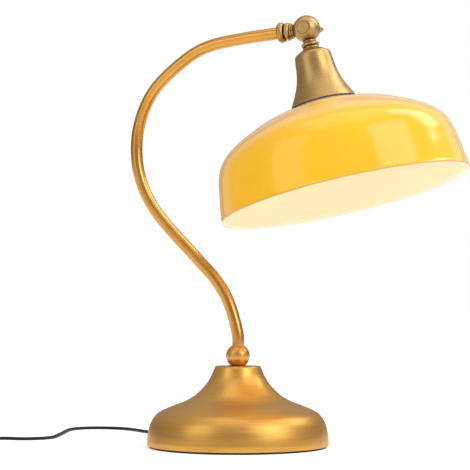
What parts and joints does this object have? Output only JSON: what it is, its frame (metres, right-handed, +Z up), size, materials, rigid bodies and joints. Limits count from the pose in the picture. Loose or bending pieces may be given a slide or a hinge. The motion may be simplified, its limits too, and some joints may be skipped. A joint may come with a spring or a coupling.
{
  "type": "desk lamp",
  "caption": "Desk lamp with a round weighted brass base, an S-shaped arm, a tilting head with a wide amber glass shade, and a mains cord with an inline switch.",
  "frame": {"origin": "centre of the foot pad's underside, on the table", "axes": "+Z up, +X from the base towards the head, +Y to the thumb key's side"},
  "size_m": [0.6755, 0.3204, 0.4252],
  "materials": {
    "antique_brass": "brushed antique brass",
    "aged_brass": "brushed aged brass, darker in the grooves",
    "raw_brass": "plain turned brass",
    "steel": "zinc plated steel",
    "cast_iron": "as cast",
    "black_plastic": "fine matte moulded",
    "foot_rubber": "matte foam rubber",
    "cord_vinyl": "smooth soft vinyl",
    "holder_plastic": "moulded heat-proof plastic",
    "silicone": "translucent silicone",
    "amber_glass": "glossy amber cased glass, cream inside",
    "bulb_glass": "frosted"
  },
  "bodies": {
    "stand": {"base_shell": "antique_brass", "base_ball": "antique_brass", "arm_tube": "antique_brass", "arm_collar": "antique_brass", "swivel_arm_half": "aged_brass", "switch_contact_1": "raw_brass", "switch_contact_2": "raw_brass", "base_plate": "steel", "plate_screw_1": "steel", "plate_screw_2": "steel", "plate_screw_3": "steel", "threaded_pipe": "steel", "weight_washer": "steel", "weight_nut": "steel", "neck_washer": "steel", "neck_nut": "steel", "switch_screw_1": "steel", "switch_screw_2": "steel", "plug_pin_1": "steel", "plug_pin_2": "steel", "base_weight": "cast_iron", "cord_strain_relief": "black_plastic", "switch_lower_housing": "black_plastic", "switch_upper_housing": "black_plastic", "coil_tie": "black_plastic", "plug_body": "black_plastic", "plug_strain_relief": "black_plastic", "foot_pad": "foot_rubber", "cord_run": "cord_vinyl", "cord_lead": "cord_vinyl", "cord_coil": "cord_vinyl", "cord_tail": "cord_vinyl", "inner_cable": "cord_vinyl"},
    "head": {"swivel_head_half": "aged_brass", "head_leads": "cord_vinyl", "neck_ring": "aged_brass", "socket_cup": "aged_brass", "cup_washer": "steel", "cup_nut": "steel", "holder_cap": "holder_plastic", "holder_barrel": "holder_plastic", "screw_shell": "raw_brass", "centre_contact": "raw_brass", "glass_shade": "amber_glass", "upper_gasket": "silicone", "upper_shade_ring": "holder_plastic", "lower_gasket": "silicone", "lower_shade_ring": "holder_plastic", "bulb_cap": "steel", "bulb_globe": "bulb_glass"},
    "key": {"thumb_key": "aged_brass", "key_washer": "raw_brass", "spring_washer": "steel"},
    "rocker": {"switch_rocker": "black_plastic"}
  },
  "joints": [
    {"name": "head_tilt", "type": "hinge", "parent": "stand", "child": "head", "pos_m": [0.0734, 0, 0.4117], "axis": [0, -1, 0], "range_deg": [-25, 55]},
    {"name": "key_turn", "type": "hinge", "parent": "stand", "child": "key", "pos_m": [0.0734, 0, 0.4117], "axis": [0, 1, 0], "range_deg": [0, 180]},
    {"name": "rocker_press", "type": "hinge", "parent": "stand", "child": "rocker", "pos_m": [-0.3076, -0.0768, 0.0132], "axis": [0.7986, -0.6018, 0], "range_deg": [0, 16]}
  ]
}
